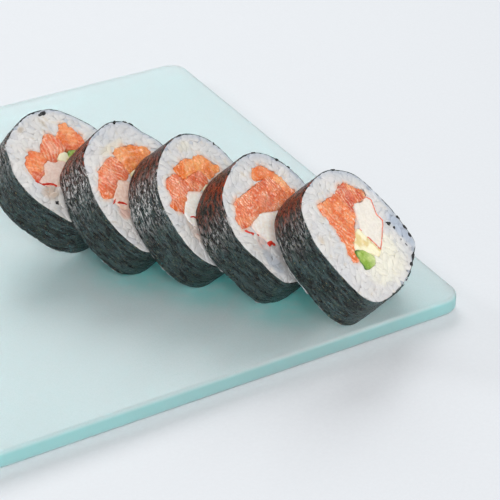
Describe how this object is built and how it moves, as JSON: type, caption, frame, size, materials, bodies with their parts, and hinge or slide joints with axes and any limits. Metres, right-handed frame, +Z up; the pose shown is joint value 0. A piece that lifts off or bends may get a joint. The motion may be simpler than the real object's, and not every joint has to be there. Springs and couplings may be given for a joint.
{
  "type": "maki sushi roll on a glass plate",
  "caption": "Thick maki sushi roll cut into slices that lean in a row on a square frosted glass plate, with salmon, surimi, cream cheese and cucumber in rice and nori.",
  "frame": {"origin": "middle of the glass plate's underside", "axes": "+X and +Y along the square plate's sides, with the row of slices running from the middle towards the corner at +X and -Y; +Z up out of the plate"},
  "size_m": [0.2, 0.2056, 0.0496],
  "materials": {
    "frosted_glass": "frosted pale blue-green glass with ground edges",
    "nori": "moist dark green-black seaweed sheet with a fibrous grain and a soft sheen",
    "rice": "cooked short-grain rice, translucent and moist",
    "salmon": "raw salmon, moist, with pale fat lines",
    "surimi": "white surimi stick with a thin red skin",
    "cream_cheese": "soft cream cheese, slightly yellow",
    "cucumber": "fresh cucumber, wet light green flesh with a dark green skin"
  },
  "bodies": {
    "root": {"cream_cheese_1": "cream_cheese", "cream_cheese_2": "cream_cheese", "cream_cheese_3": "cream_cheese", "cream_cheese_4": "cream_cheese", "cream_cheese_5": "cream_cheese", "cucumber_1": "cucumber", "cucumber_2": "cucumber", "cucumber_3": "cucumber", "cucumber_4": "cucumber", "cucumber_5": "cucumber", "nori_1": "nori", "nori_2": "nori", "nori_3": "nori", "nori_4": "nori", "nori_5": "nori", "plate": "frosted_glass", "rice_1": "rice", "rice_2": "rice", "rice_3": "rice", "rice_4": "rice", "rice_5": "rice", "salmon_1a": "salmon", "salmon_1b": "salmon", "salmon_1c": "salmon", "salmon_2a": "salmon", "salmon_2b": "salmon", "salmon_3a": "salmon", "salmon_3b": "salmon", "salmon_4a": "salmon", "salmon_4b": "salmon", "salmon_5a": "salmon", "salmon_5b": "salmon", "surimi_1": "surimi", "surimi_2": "surimi", "surimi_3": "surimi", "surimi_4": "surimi", "surimi_5": "surimi"}
  },
  "joints": []
}
